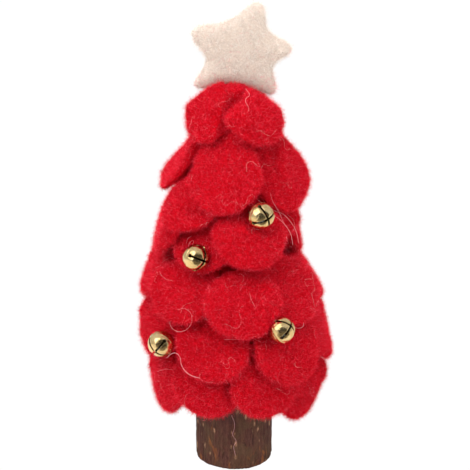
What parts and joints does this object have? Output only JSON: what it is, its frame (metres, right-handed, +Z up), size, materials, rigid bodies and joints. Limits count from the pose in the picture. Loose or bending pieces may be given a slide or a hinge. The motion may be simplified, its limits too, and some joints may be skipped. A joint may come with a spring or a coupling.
{
  "type": "felt christmas tree ornament",
  "caption": "Free-standing Christmas tree of overlapping wool-felt scales on a cone, with a felt star on top, jingle bells stitched on, and a log slice as its trunk.",
  "frame": {"origin": "middle of the trunk's flat foot, on the surface that the tree stands on", "axes": "+Z up along the tree; the face with the bells looks along -Y; +X to the right as seen from that front"},
  "size_m": [0.0763, 0.0802, 0.1847],
  "materials": {
    "red_felt": "fuzzy wool felt, matt, with stray pale fibres",
    "cream_felt": "fuzzy wool felt, matt",
    "core_felt": "pressed wool, matt",
    "bark": "dark natural bark with fine ridges, matt",
    "dowel_wood": "plain planed wood",
    "bell_brass": "polished pale brass",
    "pellet_steel": "bright steel",
    "thread": "twisted cotton thread"
  },
  "bodies": {
    "root": {"trunk_log": "bark", "core_cone": "core_felt", "centre_dowel": "dowel_wood", "star": "cream_felt", "felt_scale_row1_1": "red_felt", "felt_scale_row1_2": "red_felt", "felt_scale_row1_3": "red_felt", "felt_scale_row1_4": "red_felt", "felt_scale_row1_5": "red_felt", "felt_scale_row1_6": "red_felt", "felt_scale_row1_7": "red_felt", "felt_scale_row1_8": "red_felt", "felt_scale_row2_1": "red_felt", "felt_scale_row2_2": "red_felt", "felt_scale_row2_3": "red_felt", "felt_scale_row2_4": "red_felt", "felt_scale_row2_5": "red_felt", "felt_scale_row2_6": "red_felt", "felt_scale_row2_7": "red_felt", "felt_scale_row3_1": "red_felt", "felt_scale_row3_2": "red_felt", "felt_scale_row3_3": "red_felt", "felt_scale_row3_4": "red_felt", "felt_scale_row3_5": "red_felt", "felt_scale_row3_6": "red_felt", "felt_scale_row3_7": "red_felt", "felt_scale_row4_1": "red_felt", "felt_scale_row4_2": "red_felt", "felt_scale_row4_3": "red_felt", "felt_scale_row4_4": "red_felt", "felt_scale_row4_5": "red_felt", "felt_scale_row4_6": "red_felt", "felt_scale_row4_7": "red_felt", "felt_scale_row5_1": "red_felt", "felt_scale_row5_2": "red_felt", "felt_scale_row5_3": "red_felt", "felt_scale_row5_4": "red_felt", "felt_scale_row5_5": "red_felt", "felt_scale_row5_6": "red_felt", "felt_scale_row5_7": "red_felt", "felt_scale_row6_1": "red_felt", "felt_scale_row6_2": "red_felt", "felt_scale_row6_3": "red_felt", "felt_scale_row6_4": "red_felt", "bell1_thread": "thread", "bell2_thread": "thread", "bell3_thread": "thread", "bell4_thread": "thread"},
    "bell1": {"bell1_shell": "bell_brass", "bell1_loop": "bell_brass"},
    "pellet1": {"bell1_pellet": "pellet_steel"},
    "bell2": {"bell2_shell": "bell_brass", "bell2_loop": "bell_brass"},
    "pellet2": {"bell2_pellet": "pellet_steel"},
    "bell3": {"bell3_shell": "bell_brass", "bell3_loop": "bell_brass"},
    "pellet3": {"bell3_pellet": "pellet_steel"},
    "bell4": {"bell4_shell": "bell_brass", "bell4_loop": "bell_brass"},
    "pellet4": {"bell4_pellet": "pellet_steel"}
  },
  "joints": [
    {"name": "bell1_swing", "type": "hinge", "parent": "root", "child": "bell1", "pos_m": [0.007, -0.02402, 0.11056], "axis": [0, 0, -1], "range_deg": [0, 20]},
    {"name": "bell1_rattle", "type": "slide", "parent": "bell1", "child": "pellet1", "axis": [0, 0, 1], "range_m": [0, 0.0054]},
    {"name": "bell2_swing", "type": "hinge", "parent": "root", "child": "bell2", "pos_m": [-0.01782, -0.02488, 0.09468], "axis": [-0.03, 0.0143, -0.9994], "range_deg": [0, 20]},
    {"name": "bell2_rattle", "type": "slide", "parent": "bell2", "child": "pellet2", "axis": [0, 0, 1], "range_m": [0, 0.0054]},
    {"name": "bell3_swing", "type": "hinge", "parent": "root", "child": "bell3", "pos_m": [0.01387, -0.03204, 0.06478], "axis": [0.7295, 0.3717, -0.5742], "range_deg": [0, 20]},
    {"name": "bell3_rattle", "type": "slide", "parent": "bell3", "child": "pellet3", "axis": [0, 0, 1], "range_m": [0, 0.0054]},
    {"name": "bell4_swing", "type": "hinge", "parent": "root", "child": "bell4", "pos_m": [-0.02521, -0.02252, 0.06133], "axis": [-0.5387, 0.5444, -0.643], "range_deg": [0, 20]},
    {"name": "bell4_rattle", "type": "slide", "parent": "bell4", "child": "pellet4", "axis": [0, 0, 1], "range_m": [0, 0.0054]}
  ]
}
